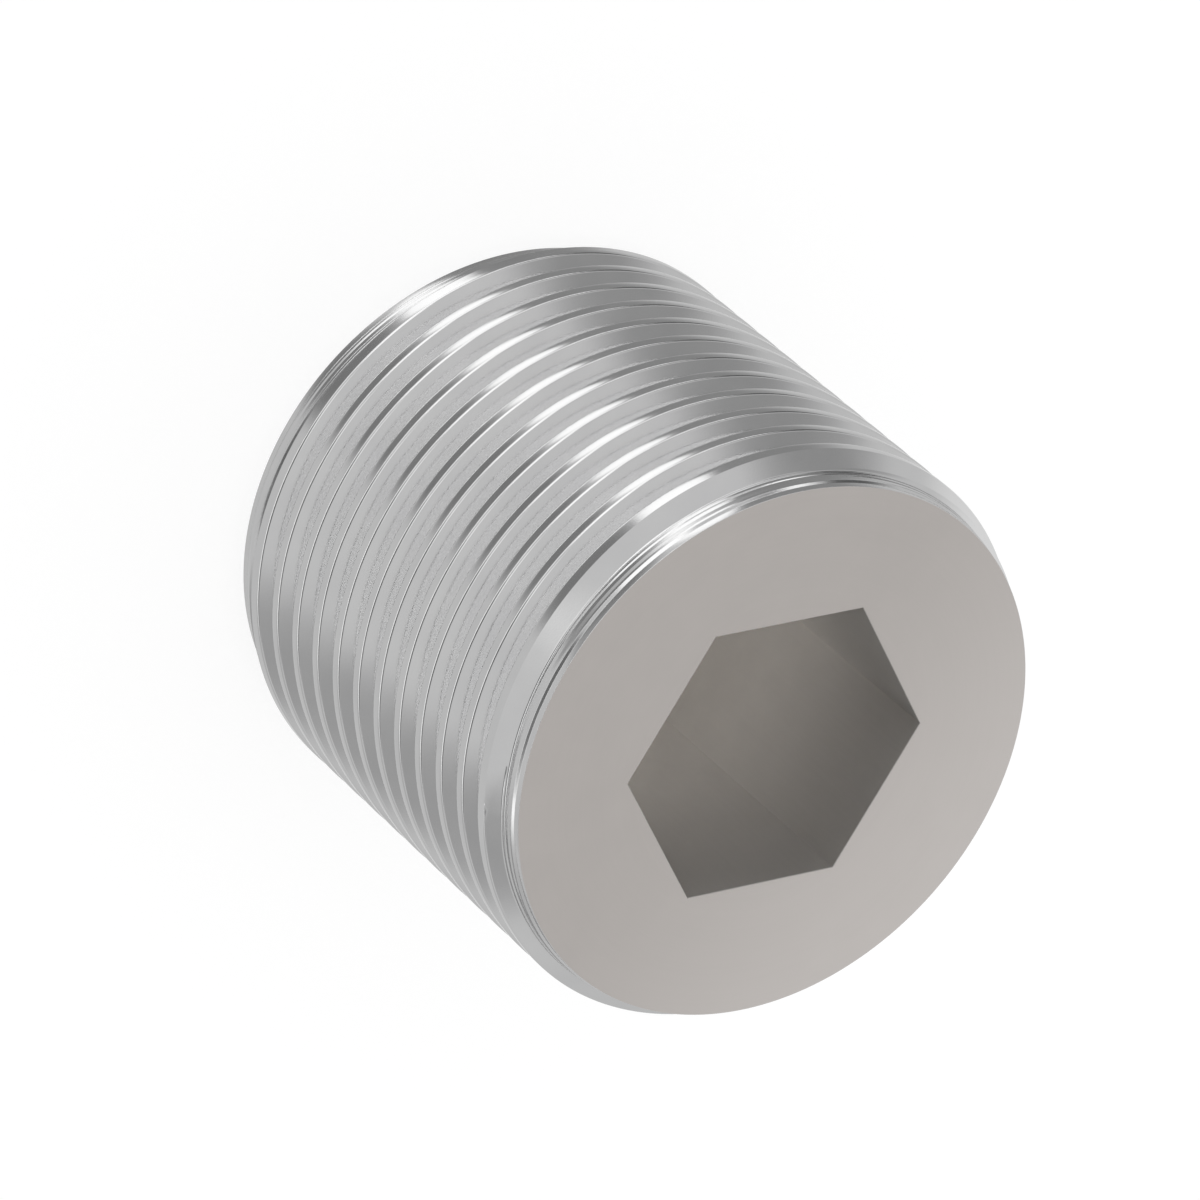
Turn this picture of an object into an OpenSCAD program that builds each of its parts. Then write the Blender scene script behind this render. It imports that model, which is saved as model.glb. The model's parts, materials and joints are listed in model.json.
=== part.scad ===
// Grub screw with a flat point, a hexagon socket and a fine metric thread.
// It stands on its point end with the socket upwards. Lengths are in
// millimetres, and the origin is the centre of the point end.

/* [Body] */
// Length from the point end to the socket face
length = 26.8; // [24:0.1:60]
// Diameter over the crests of the thread
thread_d = 29.92; // [28.6:0.02:36]
// Diameter of the plain land and flat face at each end
land_d = 28.15; // [24:0.05:29.5]
// Length of the plain land at each end
land_l = 1.2; // [0.2:0.1:4]

/* [Thread] */
// Rise of the right-hand helix in one turn
pitch = 2; // [1.5:0.25:3]
// Width of the flat crest, along the axis
crest_w = 0.58; // [0.2:0.02:0.8]
// Width of the flat root, along the axis
root_w = 0.18; // [0.1:0.02:0.4]
// Angle between the two flanks of the groove
flank_angle = 60; // [50:1:70]
// Length at each end over which the root rises and the thread runs out
run_out_l = 3; // [1:0.25:6]
// Height of the root above the land where the groove has run out
run_out_lift = 0.05; // [0.02:0.01:0.2]
// Angle from +X at which the groove reaches the socket face
exit_angle = 130; // [0:1:359]
// Flat steps in one turn of the groove
turn_steps = 36; // [24:4:60]

/* [Socket] */
// Width of the hexagon across its flats
socket_af = 14.12; // [8:0.02:18]
// Depth of the hexagon below the socket face
socket_depth = 17.5; // [8:0.1:19]
// Angle of the drilled point below the hexagon
drill_angle = 120; // [110:1:140]

/* [Hidden] */
$fn = 96;

// How far a cutting tool reaches past the surface that it opens
overcut = 0.15;

crest_r = thread_d / 2;
land_r = land_d / 2;
flank_slope = tan(flank_angle / 2);
thread_depth = (pitch - crest_w - root_w) / (2 * flank_slope);
root_r = crest_r - thread_depth;
run_out_r = max(root_r, land_r + run_out_lift);
tool_r = crest_r + overcut;

// The blank steps up from the land to the crests with the slope of a flank
shoulder_l = (crest_r - land_r) * flank_slope;

// The groove's centre line starts and ends this far past the two faces
groove_reach = 0.75 * pitch;
groove_steps = ceil((length + 2 * groove_reach) / pitch * turn_steps);

corner_r = socket_af / 2 / cos(30);
drill_depth = socket_af / 2 / tan(drill_angle / 2);

// Radius of the root where the groove's centre line is at height z
function groove_root_r(z) =
    let (from_end = min(z, length - z),
         share = min(1, max(0, 1 - from_end / run_out_l)))
    root_r + (run_out_r - root_r) * share;

// Section of the groove as [radius, height] pairs about height z, root first
function groove_section(z) =
    let (r = groove_root_r(z),
         mouth_w = root_w + 2 * (tool_r - r) * flank_slope)
    [[r, z - root_w / 2], [r, z + root_w / 2],
     [tool_r, z + mouth_w / 2], [tool_r, z - mouth_w / 2]];

// One ring of the cutting tool, turned to where the helix is at its height
function groove_ring(step) =
    let (z = step * pitch / turn_steps - groove_reach,
         angle = exit_angle + 360 * (z - length) / pitch)
    [for (p = groove_section(z)) [p[0] * cos(angle), p[0] * sin(angle), p[1]]];

// Tool that cuts the groove: the section swept along the helix
module thread_groove() {
    corners = len(groove_section(0));
    points = [for (step = [0:groove_steps]) each groove_ring(step)];
    sides = [for (step = [0:groove_steps - 1], k = [0:corners - 1])
        let (a = step * corners + k,
             b = step * corners + (k + 1) % corners)
        each [[a, b + corners, b], [a, a + corners, b + corners]]];
    last = groove_steps * corners;
    start_cap = [for (k = [0:corners - 1]) k];
    end_cap = [for (k = [corners - 1:-1:0]) last + k];
    polyhedron(points, concat(sides, [start_cap, end_cap]), convexity = 20);
}

// Turned blank: the crest cylinder, stepped down to a plain land at each end
module blank() {
    step_z = land_l + shoulder_l;
    rotate_extrude()
        polygon([[0, 0], [land_r, 0], [land_r, land_l], [crest_r, step_z],
                 [crest_r, length - step_z], [land_r, length - land_l],
                 [land_r, length], [0, length]]);
}

// Hexagon with two corners on the X axis, above its drilled point
module socket() {
    floor_z = length - socket_depth;
    translate([0, 0, floor_z])
        cylinder(r = corner_r, h = socket_depth + overcut, $fn = 6);
    translate([0, 0, floor_z - drill_depth])
        cylinder(r1 = 0, r2 = socket_af / 2, h = drill_depth);
}

module grub_screw() {
    color("silver")
        difference() {
            blank();
            thread_groove();
            socket();
        }
}

grub_screw();
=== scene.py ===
"""Looks of a grub screw: a short headless screw with a fine thread and a hexagon socket.

It stands on its flat point with the socket upwards. All lengths are in metres.
"""
import json
import math

import bpy
import numpy as np
from mathutils import Matrix, Vector

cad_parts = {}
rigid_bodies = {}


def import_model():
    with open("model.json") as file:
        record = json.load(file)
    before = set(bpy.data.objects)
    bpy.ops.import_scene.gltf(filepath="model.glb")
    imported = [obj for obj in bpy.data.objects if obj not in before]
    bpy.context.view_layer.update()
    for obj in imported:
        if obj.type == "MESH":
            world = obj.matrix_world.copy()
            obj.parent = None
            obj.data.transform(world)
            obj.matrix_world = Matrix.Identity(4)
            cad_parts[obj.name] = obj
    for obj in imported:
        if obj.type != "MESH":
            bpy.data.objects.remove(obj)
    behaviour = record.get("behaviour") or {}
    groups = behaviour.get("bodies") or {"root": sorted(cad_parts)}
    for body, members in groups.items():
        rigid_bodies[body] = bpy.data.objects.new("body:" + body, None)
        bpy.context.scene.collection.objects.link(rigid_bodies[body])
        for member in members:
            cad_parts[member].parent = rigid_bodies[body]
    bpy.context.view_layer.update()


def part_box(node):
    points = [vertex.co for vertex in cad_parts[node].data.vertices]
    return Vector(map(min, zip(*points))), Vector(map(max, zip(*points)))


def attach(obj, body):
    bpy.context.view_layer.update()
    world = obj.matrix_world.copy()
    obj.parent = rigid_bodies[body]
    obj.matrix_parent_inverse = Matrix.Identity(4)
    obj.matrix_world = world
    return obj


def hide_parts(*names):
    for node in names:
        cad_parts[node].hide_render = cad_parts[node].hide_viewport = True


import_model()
screw_low, screw_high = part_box("grub_screw")

MM = 0.001

# Body
LENGTH = screw_high.z - screw_low.z
CREST_R = (screw_high.x - screw_low.x) / 2
LAND_R = 14.075 * MM
LAND_ROUND = 0.015 * MM
FACE_ROUND = 0.02 * MM

# Fine turned steps of the land, from the foot of the thread to the face: the length of each,
# the radius where it ends and the rounding of the edge there
FOOT_R = 14.235 * MM
LAND_STEPS = (
    (0.19 * MM, FOOT_R, LAND_ROUND),
    (0.065 * MM, 14.195 * MM, LAND_ROUND),
    (0.20 * MM, 14.195 * MM, LAND_ROUND),
    (0.18 * MM, 14.165 * MM, LAND_ROUND),
    (0.12 * MM, 14.165 * MM, LAND_ROUND),
    (0.14 * MM, LAND_R, LAND_ROUND),
    (0.355 * MM, LAND_R, FACE_ROUND),
)

# Thread. The slope of a flank is its rise along the axis for each step outwards
PITCH = 2.0 * MM
CREST_W = 0.58 * MM
ROOT_W = 0.18 * MM
FLANK_SLOPE = math.tan(math.radians(30))
THREAD_DEPTH = (PITCH - CREST_W - ROOT_W) / (2 * FLANK_SLOPE)
ROOT_R = CREST_R - THREAD_DEPTH
CREST_ROUND = 0.1 * MM
ROOT_ROUND = 0.07 * MM
ROUND_STEPS = 4
RUN_OUT_L = 3.0 * MM
RUN_OUT_R = FOOT_R + 0.05 * MM
EXIT_ANGLE = math.radians(130)
TURN_STEPS = 180

# Socket: a hexagon, and under it a hole whose drill was a little narrower than the flats
SOCKET_AF = 14.12 * MM
CORNER_R = SOCKET_AF / math.sqrt(3)
SOCKET_DEPTH = 17.5 * MM
SOCKET_FLOOR = LENGTH - SOCKET_DEPTH
DRILL_R = 0.985 * SOCKET_AF / 2
DRILL_POINT_L = DRILL_R / math.tan(math.radians(60))
DRILL_SIDES = 96
MOUTH_CHAMFER = 0.03 * MM
# How far below the mouth of the socket its painted shade has faded away
MOUTH_SHADE_L = 13 * MM

# How far a cutting tool reaches past the surface that it opens
OVERCUT = 0.3 * MM
# How far the threaded rod reaches past both faces before they are turned
SPARE_L = 0.413 * PITCH
# How far the turned outline keeps clear of the crests
CREST_CLEAR = 0.005 * MM
# Two places on a drawn outline closer than this are the same
TOUCH = 0.02 * MM
# Two vertices closer than this are one: along the seams of the sweep, and after a cut
SEAM = 0.001 * MM
MERGE = 0.00002 * MM
# How near its normal comes to the axis on a face that lies square to it
SQUARE = 0.99
# Crease angle above which an edge stays sharp
SHARP_ANGLE = math.radians(25)

# Camera: where it looks, from what side, how high, how far, and how it is rolled
CAMERA_AIM = Vector((-0.65, -2.65, 13.4)) * MM
CAMERA_AZIMUTH = math.radians(13.78)
CAMERA_ELEVATION = math.radians(47.70)
CAMERA_ROLL = math.radians(131.22)
CAMERA_DISTANCE = 477.3 * MM
CAMERA_LENS = 296.9
CAMERA_SENSOR = 36.0

# Studio: brightness at the horizon and overhead, then soft boxes and dark flags as azimuth
# to the right of the camera, elevation, half size and soft edge in degrees, and brightness
HORIZON_LEVEL = 0.92
ZENITH_LEVEL = 1.0
STUDIO_CARDS = (
    (-84, -2, 13, 16, 0.17),
    (-82, -47, 13, 20, 0.42),
    (-108, 43, 2, 19, 0.48),
    (-4, -48, 9, 12, 0.33),
    (14, -30, 4, 10, 0.5),
    (30, 19, 12, 9, 0.22),
    (52, 21, 12, 9, 0.25),
    (74, 23, 10, 10, 0.35),
    (96, -20, 6, 20, 0.74),
    (107, 44, 3, 18, 0.6),
    (-155, 6, 14, 18, 1.3),
    (12, 49, 7, 9, 1.7),
    (-22, 11, 12, 5, 2.0),
    (-35, -18, 12, 5, 2.0),
    (-48, -47, 8, 5, 2.0),
    (-50, -75, 10, 6, 2.0),
)
# A light strip low in front of the screw: the elevation of its axis, how far the strip lies
# from square to that axis, its half width and soft edge in degrees, and its brightness
STRIP = (75.8, 1.9, 4, 4, 2.15)
FLOOR_SIZE = 4.0
# The middle of a noise's range
NOISE_LOW = 0.3
NOISE_HIGH = 0.7


def deselect_all():
    for other in bpy.context.scene.objects:
        other.select_set(False)


def only(obj):
    """Make one object the selected and active one."""
    deselect_all()
    obj.select_set(True)
    bpy.context.view_layer.objects.active = obj
    return obj


def name_new(name):
    """Name the primitive that was just added."""
    obj = bpy.context.object
    obj.name = name
    obj.data.name = name
    return only(obj)


def settle(obj):
    """Put the object's place into its mesh, so that the object sits at the origin."""
    only(obj)
    bpy.ops.object.transform_apply(location=True, rotation=True, scale=True)


def apply_modifier(obj, kind, **settings):
    modifier = obj.modifiers.new(kind.title(), kind)
    for key, value in settings.items():
        setattr(modifier, key, value)
    only(obj)
    bpy.ops.object.modifier_apply(modifier=modifier.name)


def select_where(obj, part, test):
    """In object mode, select the vertices, edges or faces of obj that pass the test."""
    mesh = obj.data
    for items in (mesh.vertices, mesh.edges, mesh.polygons):
        for item in items:
            item.select = False
    for item in getattr(mesh, part):
        item.select = test(item)


def edit(obj, mode):
    only(obj)
    bpy.ops.object.mode_set(mode="EDIT")
    bpy.ops.mesh.select_mode(type=mode)


def leave_edit():
    bpy.ops.object.mode_set(mode="OBJECT")


def shape(obj, tool, operation):
    """Keep or cut away what the tool covers."""
    apply_modifier(obj, "BOOLEAN", object=tool, operation=operation, solver="EXACT")
    bpy.data.objects.remove(tool)


def add_profile(name, points):
    """A wire through points in the XZ plane, drawn by extruding one vertex."""
    bpy.ops.mesh.primitive_plane_add(size=TOUCH, location=(0, 0, 0))
    wire = name_new(name)
    edit(wire, "VERT")
    bpy.ops.mesh.select_all(action="SELECT")
    bpy.ops.mesh.merge(type="CENTER")
    bpy.ops.transform.translate(value=(points[0][0], 0, points[0][1]))
    for here, there in zip(points, points[1:]):
        step = (there[0] - here[0], 0, there[1] - here[1])
        bpy.ops.mesh.extrude_vertices_move(TRANSFORM_OT_translate={"value": step})
    leave_edit()
    return wire


def round_corners(wire, radius_at, offset):
    """Round the wire's corners that lie at one radius, but not its two ends."""
    ends = {min(v.co.z for v in wire.data.vertices), max(v.co.z for v in wire.data.vertices)}
    select_where(wire, "vertices",
                 lambda v: abs(v.co.x - radius_at) < TOUCH and v.co.z not in ends)
    edit(wire, "VERT")
    bpy.ops.mesh.bevel(offset=offset, segments=ROUND_STEPS, profile=0.5, affect="VERTICES")
    leave_edit()


def groove_height(angle):
    """Height of the groove's centre line at an angle from +X, on some turn."""
    return LENGTH + PITCH * (angle - EXIT_ANGLE) / (2 * math.pi)


def lift_run_out(rod):
    """Raise the root towards both ends, where the thread runs out."""
    mesh = rod.data
    co = np.zeros(len(mesh.vertices) * 3)
    mesh.vertices.foreach_get("co", co)
    co = co.reshape(-1, 3)
    radius = np.hypot(co[:, 0], co[:, 1])
    centre = groove_height(np.arctan2(co[:, 1], co[:, 0]))
    centre = centre + PITCH * np.round((co[:, 2] - centre) / PITCH)
    from_end = np.minimum(centre, LENGTH - centre)
    share = np.clip(1 - from_end / RUN_OUT_L, 0, 1)
    lifted = np.minimum(radius + (RUN_OUT_R - ROOT_R) * share, CREST_R)
    lifted = np.maximum(lifted, radius)
    co[:, :2] *= (lifted / radius)[:, None]
    mesh.vertices.foreach_set("co", co.ravel())
    mesh.update()


def add_threaded_rod():
    """The thread's profile swept up a right-hand helix, past both ends of the screw."""
    crest_edge = PITCH / 2 - CREST_W / 2
    points = [(CREST_R, -PITCH / 2), (CREST_R, -crest_edge), (ROOT_R, -ROOT_W / 2),
              (ROOT_R, ROOT_W / 2), (CREST_R, crest_edge), (CREST_R, PITCH / 2)]
    rod = add_profile("screw", points)
    round_corners(rod, CREST_R, CREST_ROUND)
    round_corners(rod, ROOT_R, ROOT_ROUND)
    start = groove_height(0) % PITCH - 2 * PITCH
    rod.location.z = start
    settle(rod)
    turns = math.ceil((LENGTH + PITCH - start) / PITCH) + 1
    apply_modifier(rod, "SCREW", axis="Z", angle=2 * math.pi, screw_offset=PITCH,
                   iterations=turns, steps=TURN_STEPS, render_steps=TURN_STEPS,
                   use_merge_vertices=True, merge_threshold=SEAM)
    edit(rod, "VERT")
    bpy.ops.mesh.select_all(action="SELECT")
    bpy.ops.mesh.remove_doubles(threshold=SEAM)
    leave_edit()
    lift_run_out(rod)
    trim(rod, -SPARE_L, -1)
    trim(rod, LENGTH + SPARE_L, 1)
    edit(rod, "FACE")
    bpy.ops.mesh.select_all(action="SELECT")
    bpy.ops.mesh.normals_make_consistent(inside=False)
    leave_edit()
    return rod


def trim(rod, height, side):
    """Cut the rod flat at a height and close it. side is 1 to drop what is above."""
    edit(rod, "EDGE")
    bpy.ops.mesh.select_all(action="SELECT")
    bpy.ops.mesh.bisect(plane_co=(0, 0, height), plane_no=(0, 0, side), clear_outer=True,
                        threshold=MERGE)
    leave_edit()
    vertices = rod.data.vertices
    select_where(rod, "edges",
                 lambda edge: all(abs(vertices[i].co.z - height) < 10 * MERGE
                                  for i in edge.vertices))
    edit(rod, "EDGE")
    bpy.ops.mesh.edge_face_add()
    leave_edit()


def edge_at(obj, height, radius):
    """Tell which edges of obj run round the axis at a height and a radius."""
    vertices = obj.data.vertices
    return lambda edge: all(
        abs(vertices[i].co.z - height) < TOUCH / 4
        and abs(vertices[i].co.xy.length - radius) < TOUCH / 4 for i in edge.vertices)


def add_turned_outline():
    """The blank before threading: a cylinder with a finely stepped land at each end."""
    outer_r = CREST_R + CREST_CLEAR
    steps = (((outer_r - FOOT_R) * FLANK_SLOPE, FOOT_R, ROOT_ROUND),) + LAND_STEPS
    body_l = LENGTH - 2 * sum(step[0] for step in steps)
    bpy.ops.mesh.primitive_cylinder_add(vertices=TURN_STEPS, radius=outer_r, depth=body_l,
                                        location=(0, 0, LENGTH / 2))
    outline = name_new("turned_outline")
    settle(outline)
    for side in (1, -1):
        select_where(outline, "polygons", lambda f: f.normal.z * side > SQUARE)
        edit(outline, "FACE")
        from_middle = body_l / 2
        edges = [(from_middle, outer_r, CREST_ROUND)]
        for rise, radius, rounding in steps:
            shrink = radius / edges[-1][1]
            from_middle += rise
            bpy.ops.mesh.extrude_region_move(
                TRANSFORM_OT_translate={"value": (0, 0, side * rise)})
            bpy.ops.transform.resize(value=(shrink, shrink, 1))
            edges.append((from_middle, radius, rounding))
        leave_edit()
        for from_middle, radius, rounding in edges:
            level = LENGTH / 2 + side * from_middle
            select_where(outline, "edges", edge_at(outline, level, radius))
            edit(outline, "EDGE")
            bpy.ops.mesh.bevel(offset=rounding, segments=ROUND_STEPS, affect="EDGES")
            leave_edit()
    return outline


def add_hexagon_tool():
    """Broach for the socket: a hexagon with corners on the X axis and a flared top."""
    straight_l = SOCKET_DEPTH - MOUTH_CHAMFER
    bpy.ops.mesh.primitive_cylinder_add(
        vertices=6, radius=CORNER_R, depth=straight_l, rotation=(0, 0, math.pi / 2),
        location=(0, 0, SOCKET_FLOOR + straight_l / 2))
    tool = name_new("hexagon_tool")
    settle(tool)
    select_where(tool, "polygons", lambda f: f.normal.z > SQUARE)
    edit(tool, "FACE")
    flare_l = MOUTH_CHAMFER + OVERCUT
    flare = (SOCKET_AF / 2 + flare_l) / (SOCKET_AF / 2)
    bpy.ops.mesh.extrude_region_move(TRANSFORM_OT_translate={"value": (0, 0, flare_l)})
    bpy.ops.transform.resize(value=(flare, flare, 1))
    leave_edit()
    return tool


def add_drill_tool():
    """Drill for the hole under the hexagon: a 120 degree point and a little of its body."""
    bpy.ops.mesh.primitive_cylinder_add(vertices=DRILL_SIDES, radius=DRILL_R, depth=OVERCUT,
                                        location=(0, 0, SOCKET_FLOOR + OVERCUT / 2))
    tool = name_new("drill_tool")
    settle(tool)
    select_where(tool, "polygons", lambda f: f.normal.z < -SQUARE)
    edit(tool, "FACE")
    bpy.ops.mesh.extrude_region_move(TRANSFORM_OT_translate={"value": (0, 0, -DRILL_POINT_L)})
    bpy.ops.mesh.merge(type="CENTER")
    leave_edit()
    return tool


def add_screw():
    """Thread and turned outline joined into one closed steel body."""
    blank = add_turned_outline()
    shape(blank, add_hexagon_tool(), "DIFFERENCE")
    shape(blank, add_drill_tool(), "DIFFERENCE")
    screw = add_threaded_rod()
    shape(screw, blank, "INTERSECT")
    edit(screw, "VERT")
    bpy.ops.mesh.select_all(action="SELECT")
    bpy.ops.mesh.remove_doubles(threshold=MERGE)
    leave_edit()
    bpy.ops.object.shade_smooth_by_angle(angle=SHARP_ANGLE)
    apply_modifier(screw, "WEIGHTED_NORMAL", mode="FACE_AREA_WITH_ANGLE", keep_sharp=True)
    return screw


class Value:
    """A socket of a node, so that shader maths reads as an expression."""

    def __init__(self, finish, socket):
        self.finish = finish
        self.socket = socket

    def maths(self, operation, *values):
        return self.finish.node("Math", {"operation": operation}, *values)

    def __add__(self, other):
        return self.maths("ADD", self, other)

    def __radd__(self, other):
        return self.maths("ADD", other, self)

    def __sub__(self, other):
        return self.maths("SUBTRACT", self, other)

    def __rsub__(self, other):
        return self.maths("SUBTRACT", other, self)

    def __mul__(self, other):
        return self.maths("MULTIPLY", self, other)

    def __rmul__(self, other):
        return self.maths("MULTIPLY", other, self)


class Finish:
    """The nodes of one material or of the world."""

    def __init__(self, owner):
        owner.use_nodes = True
        self.tree = owner.node_tree
        self.tree.nodes.clear()

    def node(self, kind, settings=None, *values, output=None, **named):
        """Make one node: its settings first, then its sockets by order or by name."""
        made = self.tree.nodes.new("ShaderNode" + kind)
        for key, value in (settings or {}).items():
            setattr(made, key, value)
        in_use = [socket for socket in made.inputs if socket.enabled]
        by_name = {socket.name: socket for socket in in_use}
        pairs = list(zip(in_use, values))
        pairs += [(by_name[name.replace("_", " ")], value) for name, value in named.items()]
        for socket, value in pairs:
            if isinstance(value, Value):
                self.tree.links.new(value.socket, socket)
            else:
                socket.default_value = value
        outputs = [socket for socket in made.outputs if socket.enabled]
        found = [socket for socket in outputs if output in (None, socket.name)]
        return Value(self, found[0]) if found else None

    def place(self):
        return self.node("TexCoord", output="Object")

    def speckle(self, place, size, detail=2.0):
        """Noise from 0 to 1 whose spots are about one size across, as one size or three."""
        sizes = size if isinstance(size, tuple) else (size, size, size)
        spread = self.node("VectorMath", {"operation": "DIVIDE"}, place, sizes)
        return self.node("TexNoise", None, Vector=spread, Scale=1.0, Detail=detail)

    def turned_place(self):
        """Distance from the axis and height, so that marks run round the axis."""
        place = self.place()
        flat = self.node("VectorMath", {"operation": "MULTIPLY"}, place, (1, 1, 0))
        radius = self.node("VectorMath", {"operation": "LENGTH"}, flat)
        height = self.node("SeparateXYZ", None, place, output="Z")
        return self.node("CombineXYZ", None, radius, 0.0, height)

    def between(self, share, low, high):
        """Turn the middle of a noise into a number from low to high."""
        return self.node("MapRange", None, share, NOISE_LOW, NOISE_HIGH, low, high)

    def fade(self, value, start, end, low=0.0, high=1.0):
        """Go softly from low to high while the value goes from start to end."""
        soft = {"interpolation_type": "SMOOTHSTEP"}
        return self.node("MapRange", soft, value, start, end, low, high)

    def along(self, place, direction):
        """How far a place lies along a direction."""
        return self.node("VectorMath", {"operation": "DOT_PRODUCT"}, place, direction)

    def blend(self, share, first, second):
        return self.node("Mix", {"data_type": "RGBA"}, share, first, second)

    def relief(self, height, depth):
        return self.node("Bump", None, Distance=depth, Height=height)


def new_finish(name):
    material = bpy.data.materials.new(name)
    return material, Finish(material)


def assign(obj, finishes):
    for material in finishes:
        obj.data.materials.append(material)


def steel(name, light, dark, gloss, marks, blotch_size, turned=False, painted_light_ramp=None):
    """Bare steel with blotches in its tone and gloss, and fine marks from the tool.

    gloss is the least and the most roughness, and marks the size and depth of the marks.
    The optional ramp is painted light and shade: a direction, where along it the tone starts to
    change and ends, and the last tone.
    """
    material, finish = new_finish(name)
    marks_size, marks_depth = marks
    place = finish.turned_place() if turned else finish.place()
    relief = finish.speckle(place, marks_size)
    blotch = finish.speckle(finish.place(), blotch_size, 3.0)
    colour = finish.blend(finish.between(blotch, 0.0, 1.0), dark, light)
    # Painted light and shade: the tone goes over to the last tone along one direction.
    if painted_light_ramp:
        direction, start, end, painted_tone = painted_light_ramp
        share = finish.fade(finish.along(finish.place(), direction), start, end)
        colour = finish.blend(share, colour, painted_tone)
    shader = finish.node("BsdfPrincipled", None, Metallic=1.0,
                         Specular_Tint=(0.85, 0.85, 0.85, 1),
                         Base_Color=colour,
                         Roughness=finish.between(blotch * 0.6 + relief * 0.4, *gloss),
                         Normal=finish.relief(relief, marks_depth))
    finish.node("OutputMaterial", None, Surface=shader)
    return material


def thread_steel():
    """Cut thread: neutral bright steel with fine marks."""
    return steel("thread_steel", light=(0.515, 0.515, 0.515, 1), dark=(0.485, 0.485, 0.487, 1),
                 gloss=(0.10, 0.17), marks=(0.08 * MM, 0.001 * MM), blotch_size=3 * MM)


def turned_steel():
    """Flat ends: warm grey satin steel, turned in fine rings, with a painted highlight that makes
    one side a little paler.
    """
    return steel("turned_steel", light=(0.46, 0.434, 0.416, 1), dark=(0.44, 0.415, 0.398, 1),
                 gloss=(0.47, 0.53), marks=(0.12 * MM, 0.001 * MM), blotch_size=2 * MM,
                 turned=True,
                 # Painted highlight: the face turns paler along this direction.
                 painted_light_ramp=((0.24, 0.97, 0), -4 * MM, 15 * MM, (0.545, 0.517, 0.498, 1)))


def socket_steel():
    """Socket walls: warm grey, streaked along the hexagon by the broach, with painted light that
    makes them pale deep down and painted shade that darkens them at the mouth.
    """
    streaks = (0.2 * MM, 0.2 * MM, 3 * MM)
    # Painted light and shade: the walls are painted very pale deep in the socket and darker
    # towards the mouth.
    return steel("socket_steel", light=(0.90, 0.88, 0.855, 1), dark=(0.86, 0.84, 0.815, 1),
                 gloss=(0.62, 0.72), marks=(streaks, 0.002 * MM), blotch_size=1.5 * MM,
                 painted_light_ramp=((0, 0, 1), LENGTH - MOUTH_SHADE_L, LENGTH + 1 * MM,
                        (0.46, 0.444, 0.428, 1)))


def finish_screw(screw):
    """Give the thread, the flat ends and the socket their own finish, by where each face lies."""
    assign(screw, [thread_steel(), turned_steel(), socket_steel()])
    for face in screw.data.polygons:
        centre = face.center
        on_end = abs(face.normal.z) > SQUARE and not TOUCH < centre.z < LENGTH - TOUCH
        in_socket = math.hypot(centre.x, centre.y) < CORNER_R + TOUCH
        face.material_index = 1 if on_end else 2 if in_socket else 0


def add_floor():
    """Plain pale floor that takes the screw's soft shadow. The steel mirrors the studio
    through it, which is as pale.
    """
    bpy.ops.mesh.primitive_plane_add(size=FLOOR_SIZE, location=(0, 0, 0))
    floor = name_new("floor")
    material, finish = new_finish("floor_paper")
    lit = finish.node("BsdfDiffuse", None, Color=(0.2, 0.2, 0.2, 1))
    white = finish.node("Emission", None, Color=(1, 1, 1, 1), Strength=0.83)
    pale = finish.node("AddShader", None, lit, white)
    clear = finish.node("BsdfTransparent")
    glossy_ray = finish.node("LightPath", output="Is Glossy Ray")
    surface = finish.node("MixShader", None, glossy_ray, pale, clear)
    finish.node("OutputMaterial", None, Surface=surface)
    assign(floor, [material])
    return floor


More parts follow.
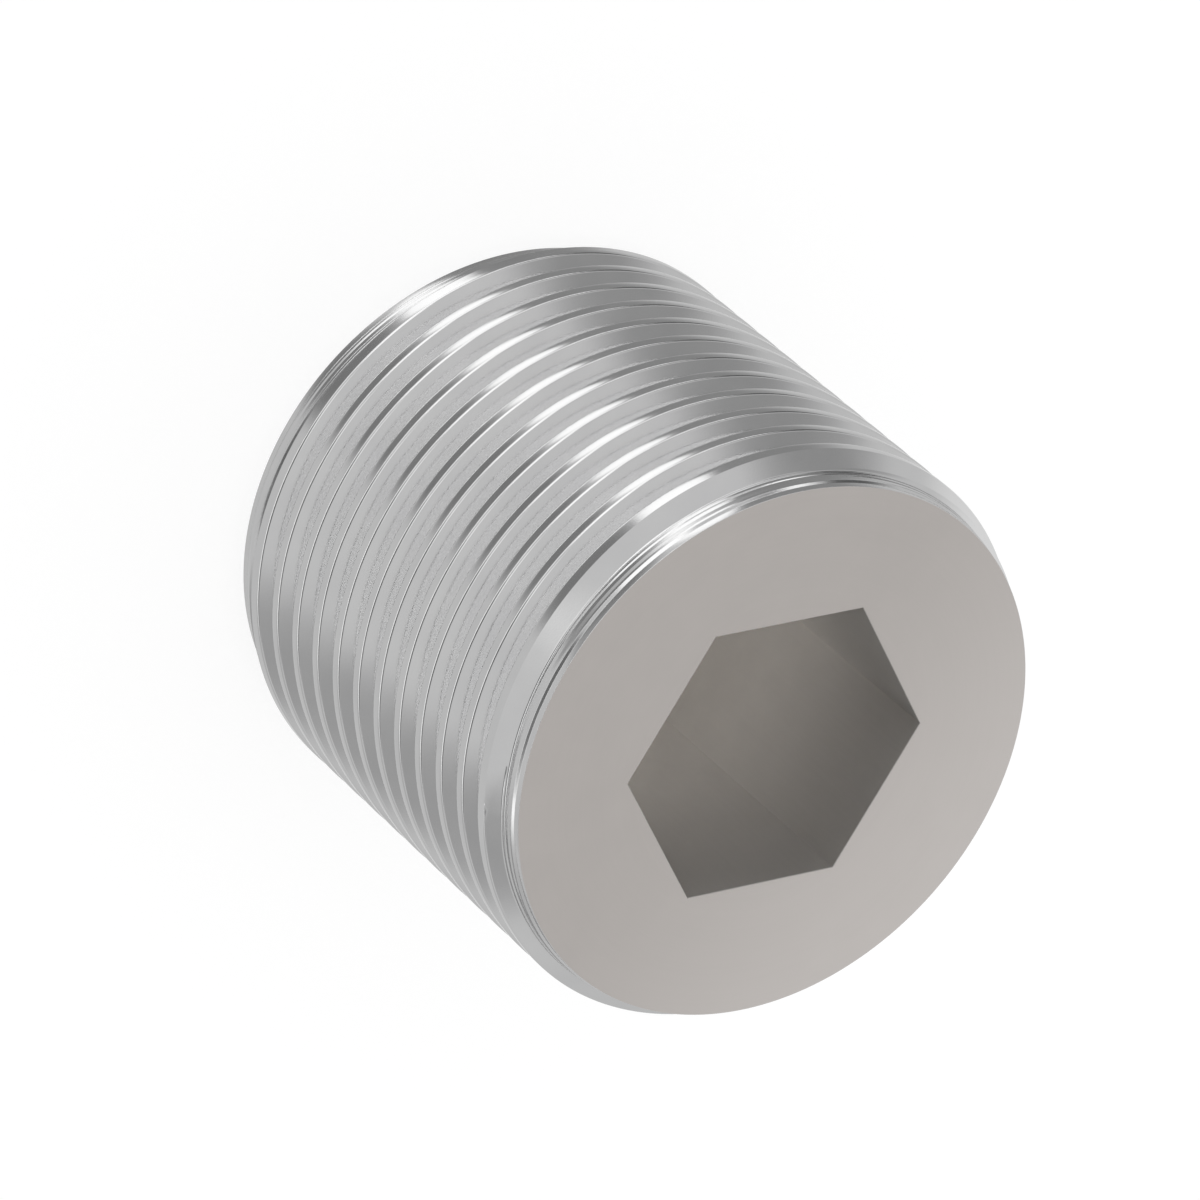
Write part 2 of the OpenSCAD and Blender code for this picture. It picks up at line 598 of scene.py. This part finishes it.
def add_camera():
    data = bpy.data.cameras.new("camera")
    data.lens = CAMERA_LENS
    data.sensor_width = CAMERA_SENSOR
    data.clip_start = 0.01
    data.clip_end = 20
    camera = bpy.data.objects.new("camera", data)
    bpy.context.scene.collection.objects.link(camera)
    flat = math.cos(CAMERA_ELEVATION)
    look = Vector((math.sin(CAMERA_AZIMUTH) * flat, math.cos(CAMERA_AZIMUTH) * flat,
                   -math.sin(CAMERA_ELEVATION)))
    place = Matrix.Translation(CAMERA_AIM - look * CAMERA_DISTANCE)
    turn = look.to_track_quat("-Z", "Y").to_matrix().to_4x4()
    camera.matrix_world = place @ turn @ Matrix.Rotation(CAMERA_ROLL, 4, "Z")
    bpy.context.scene.camera = camera


def direction_to(azimuth, elevation):
    """Unit vector at an azimuth to the right of the camera and an elevation, in degrees."""
    turn = math.radians(azimuth) - CAMERA_AZIMUTH - math.pi / 2
    rise = math.radians(elevation)
    return Vector((math.cos(turn) * math.cos(rise), math.sin(turn) * math.cos(rise),
                   math.sin(rise)))


def light_world():
    """A pale studio: white behind the screw, and boxes and flags that the steel mirrors."""
    world = bpy.data.worlds.new("studio")
    bpy.context.scene.world = world
    finish = Finish(world)
    ray = finish.node("TexCoord", output="Generated")
    height = finish.node("SeparateXYZ", None, ray, output="Z")
    tone = finish.fade(height, 0.0, 0.9, HORIZON_LEVEL, ZENITH_LEVEL)
    for azimuth, elevation, half_size, soft_edge, level in STUDIO_CARDS:
        facing = finish.along(ray, direction_to(azimuth, elevation))
        edge_from = math.cos(math.radians(half_size + soft_edge))
        edge_to = math.cos(math.radians(half_size))
        tone = tone + (level - tone) * finish.fade(facing, edge_from, edge_to)
    axis_elevation, offset, half_width, soft_edge, level = STRIP
    along_axis = finish.along(ray, direction_to(0, axis_elevation))
    away = finish.node("Math", {"operation": "ABSOLUTE"},
                       along_axis - math.sin(math.radians(offset)))
    edge_from = math.sin(math.radians(half_width + soft_edge))
    edge_to = math.sin(math.radians(half_width))
    in_front = finish.fade(finish.along(ray, direction_to(0, 0)), 0.0, 0.3)
    tone = tone + (level - tone) * (finish.fade(away, edge_from, edge_to) * in_front)
    camera_ray = finish.node("LightPath", output="Is Camera Ray")
    studio = finish.node("Background", None, tone, 1.0)
    white = finish.node("Background", None, (1, 1, 1, 1), 1.0)
    surface = finish.node("MixShader", None, camera_ray, studio, white)
    finish.node("OutputWorld", None, Surface=surface)
    world.cycles.sampling_method = "NONE"


add_camera()
add_floor()
light_world()
screw = add_screw()
finish_screw(screw)
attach(screw, "root")
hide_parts("grub_screw")

scene = bpy.context.scene
scene.view_settings.view_transform = "Standard"
